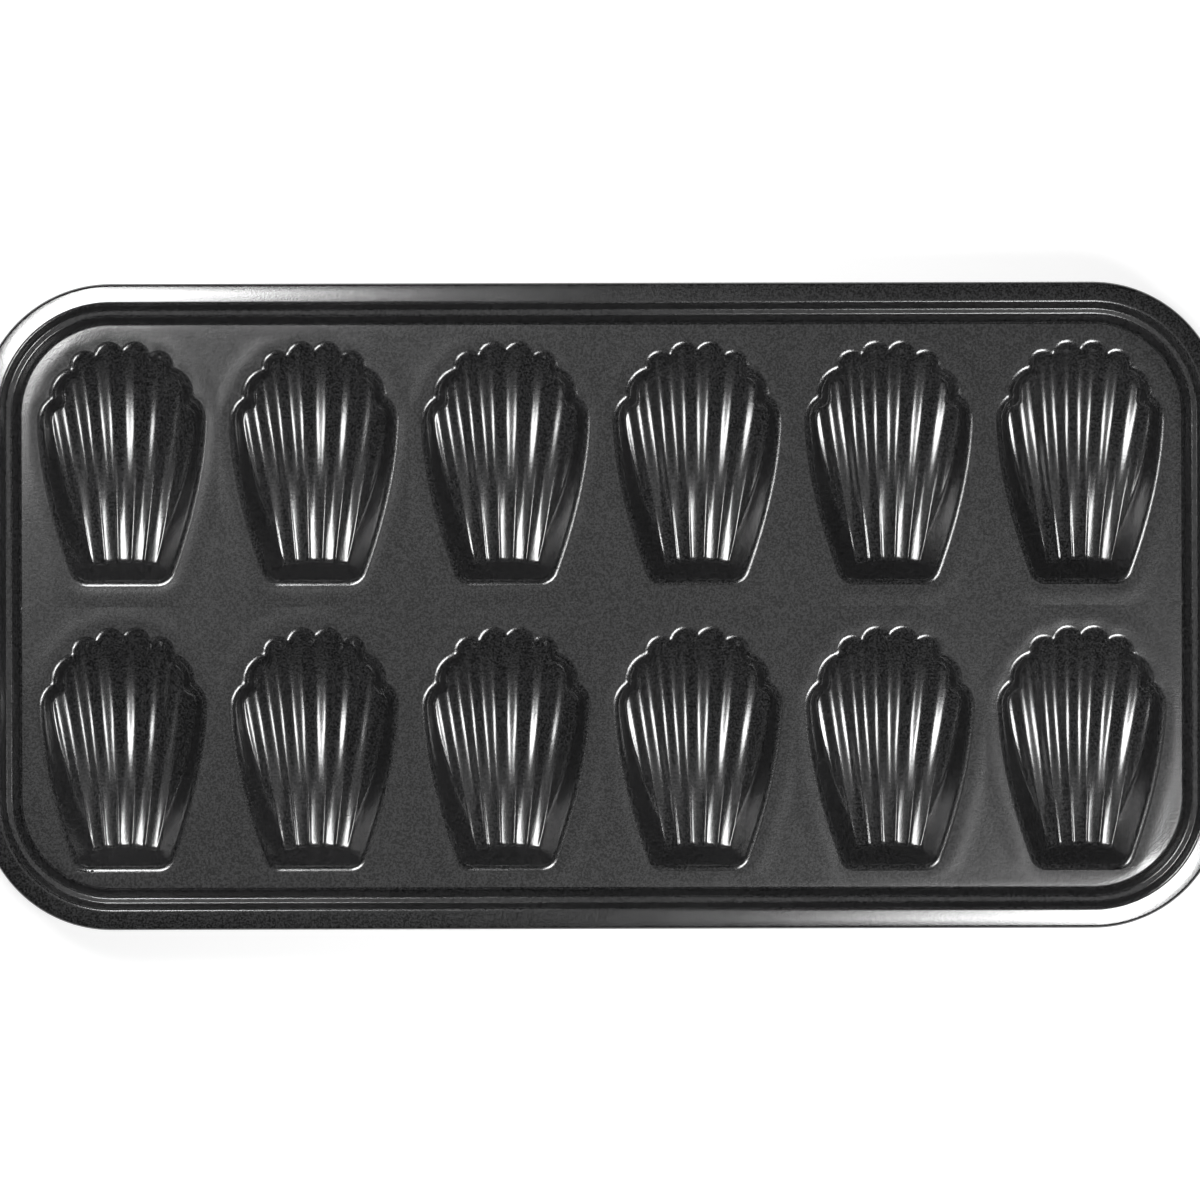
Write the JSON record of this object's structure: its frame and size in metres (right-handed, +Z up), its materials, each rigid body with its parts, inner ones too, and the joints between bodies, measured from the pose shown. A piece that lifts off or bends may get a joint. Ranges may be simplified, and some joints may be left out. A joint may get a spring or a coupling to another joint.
{
  "type": "madeleine pan",
  "caption": "Rectangular non-stick baking tin with rows of shell-shaped, fluted cups, a stepped wall and a rolled rim, for baking small scalloped cakes.",
  "frame": {"origin": "under the middle of the pan, on the surface that its cups stand on", "axes": "+X along the pan, +Y from the cups' straight hinge ends to their scalloped ends, +Z up out of the cups"},
  "size_m": [0.3858, 0.2002, 0.0235],
  "materials": {
    "coating": "dark satin non-stick coating with a fine speckle",
    "rim_coating": "the same dark satin coating, worn a little smoother on the rolled rim",
    "wire_steel": "plain drawn steel wire"
  },
  "bodies": {
    "root": {"deck_front": "coating", "deck_back": "coating", "lower_wall": "coating", "upper_wall": "coating", "rolled_rim": "rim_coating", "rim_wire": "wire_steel", "cup_front_1": "coating", "cup_front_2": "coating", "cup_front_3": "coating", "cup_front_4": "coating", "cup_front_5": "coating", "cup_front_6": "coating", "cup_back_1": "coating", "cup_back_2": "coating", "cup_back_3": "coating", "cup_back_4": "coating", "cup_back_5": "coating", "cup_back_6": "coating"}
  },
  "joints": []
}
